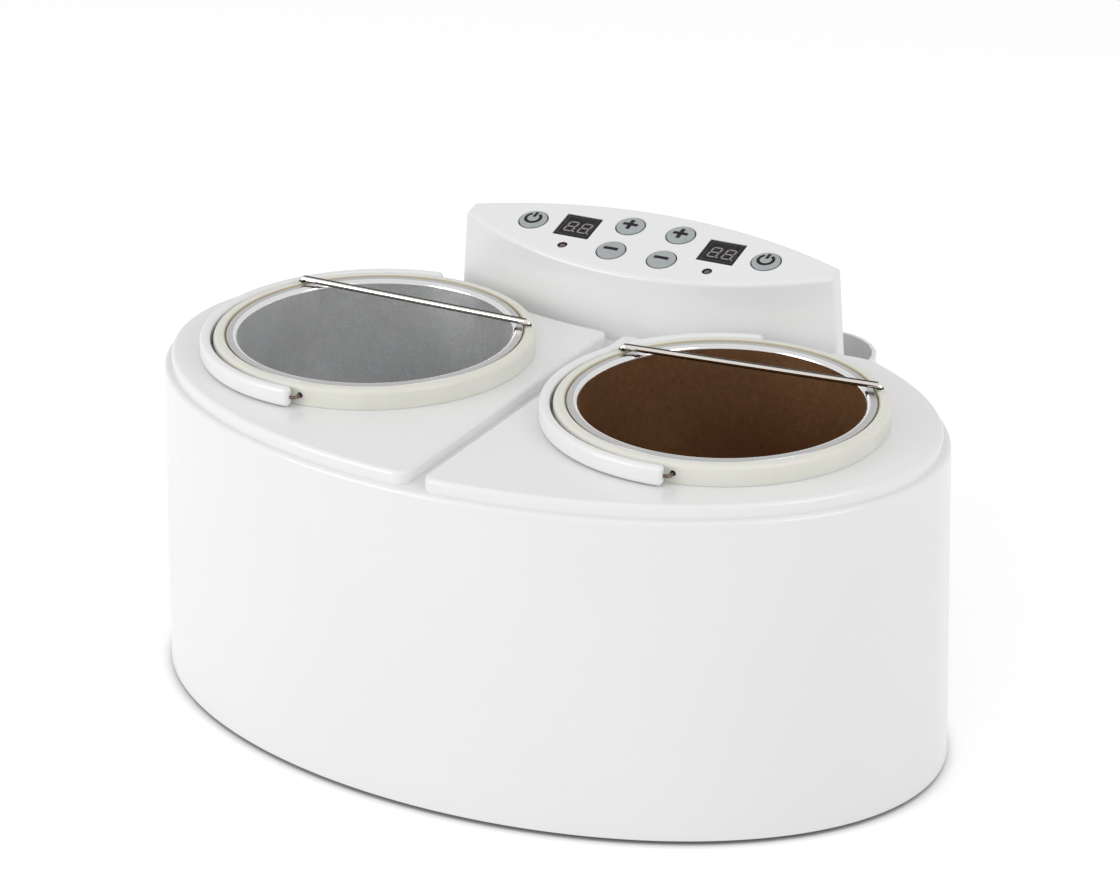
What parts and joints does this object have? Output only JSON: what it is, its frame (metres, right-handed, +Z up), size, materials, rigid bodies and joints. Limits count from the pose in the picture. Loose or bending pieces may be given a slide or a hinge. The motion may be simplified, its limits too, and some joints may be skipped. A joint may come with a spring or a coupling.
{
  "type": "double wax warmer",
  "caption": "Oval double wax warmer with lift-out pots, folding bail handles, wiper bars, a tilted button console and a rear box for strips and spatulas.",
  "frame": {"origin": "middle of the whole footprint, at the level of the table", "axes": "+X along the long side to the right as seen from the front, +Y to the back, where the console is, +Z up"},
  "size_m": [0.3922, 0.2778, 0.2006],
  "materials": {
    "white_shell": "glossy white moulding",
    "ivory_collar": "satin ivory moulding",
    "white_handle": "glossy white moulding",
    "button_grey": "satin grey",
    "display_black": "smoked window over the digits",
    "lamp_red": "dark red lens",
    "pot_aluminium": "spun, satin",
    "well_aluminium": "pressed, plain",
    "bar_chrome": "polished wire",
    "steel_wire": "plain wire",
    "heater_steel": "steel-clad heater",
    "screw_steel": "zinc plated",
    "contact_brass": "nickel-plated brass",
    "foot_rubber": "matt rubber",
    "black_plastic": "matt black",
    "board_green": "circuit board",
    "core_iron": "laminated core",
    "relay_blue": "sealed case",
    "terminal_green": "terminal moulding",
    "switch_black": "tactile switch",
    "thermostat_black": "phenolic body"
  },
  "bodies": {
    "base": {"band_screws": "screw_steel", "base_plate": "black_plastic", "base_screws": "screw_steel", "board_screws": "screw_steel", "body_shell": "white_shell", "box_screws": "screw_steel", "button_switches": "switch_black", "console_housing": "white_shell", "console_screws": "screw_steel", "control_board": "board_green", "heater_relays": "relay_blue", "inlet_contacts": "contact_brass", "left_display": "display_black", "left_heater_band": "heater_steel", "left_heating_well": "well_aluminium", "left_status_led": "lamp_red", "left_thermostat": "thermostat_black", "left_top_plate": "white_shell", "mains_inlet": "black_plastic", "plate_screws": "screw_steel", "power_board": "board_green", "power_board_screws": "screw_steel", "power_transformer": "core_iron", "right_display": "display_black", "right_heater_band": "heater_steel", "right_heating_well": "well_aluminium", "right_status_led": "lamp_red", "right_thermostat": "thermostat_black", "right_top_plate": "white_shell", "rubber_feet": "foot_rubber", "strip_box": "white_shell", "terminal_block": "terminal_green"},
    "left_pot": {"left_wax_pot": "pot_aluminium", "left_pot_collar": "ivory_collar", "left_wiper_bar": "bar_chrome"},
    "left_handle": {"left_handle": "white_handle", "left_handle_pins": "steel_wire"},
    "right_pot": {"right_wax_pot": "pot_aluminium", "right_pot_collar": "ivory_collar", "right_wiper_bar": "bar_chrome"},
    "right_handle": {"right_handle": "white_handle", "right_handle_pins": "steel_wire"},
    "left_power_button": {"left_power_button": "button_grey"},
    "left_plus_button": {"left_plus_button": "button_grey"},
    "left_minus_button": {"left_minus_button": "button_grey"},
    "right_power_button": {"right_power_button": "button_grey"},
    "right_plus_button": {"right_plus_button": "button_grey"},
    "right_minus_button": {"right_minus_button": "button_grey"}
  },
  "joints": [
    {"name": "left_pot_lift", "type": "slide", "parent": "base", "child": "left_pot", "axis": [0, 0, 1], "range_m": [0, 0.12]},
    {"name": "left_handle_hinge", "type": "hinge", "parent": "left_pot", "child": "left_handle", "pos_m": [-0.08985, -0.0131, 0.1644], "axis": [-0.0785, 0.9969, 0], "range_deg": [0, 180]},
    {"name": "right_pot_lift", "type": "slide", "parent": "base", "child": "right_pot", "axis": [0, 0, 1], "range_m": [0, 0.12]},
    {"name": "right_handle_hinge", "type": "hinge", "parent": "right_pot", "child": "right_handle", "pos_m": [0.08985, -0.0131, 0.1644], "axis": [-0.1736, 0.9848, 0], "range_deg": [0, 180]},
    {"name": "left_power_button_press", "type": "slide", "parent": "base", "child": "left_power_button", "axis": [0, 0.2672, -0.9636], "range_m": [0, 0.0008], "stiffness_N_per_m": 300},
    {"name": "left_plus_button_press", "type": "slide", "parent": "base", "child": "left_plus_button", "axis": [0, 0.2672, -0.9636], "range_m": [0, 0.0008], "stiffness_N_per_m": 300},
    {"name": "left_minus_button_press", "type": "slide", "parent": "base", "child": "left_minus_button", "axis": [0, 0.2672, -0.9636], "range_m": [0, 0.0008], "stiffness_N_per_m": 300},
    {"name": "right_power_button_press", "type": "slide", "parent": "base", "child": "right_power_button", "axis": [0, 0.2672, -0.9636], "range_m": [0, 0.0008], "stiffness_N_per_m": 300},
    {"name": "right_plus_button_press", "type": "slide", "parent": "base", "child": "right_plus_button", "axis": [0, 0.2672, -0.9636], "range_m": [0, 0.0008], "stiffness_N_per_m": 300},
    {"name": "right_minus_button_press", "type": "slide", "parent": "base", "child": "right_minus_button", "axis": [0, 0.2672, -0.9636], "range_m": [0, 0.0008], "stiffness_N_per_m": 300}
  ]
}
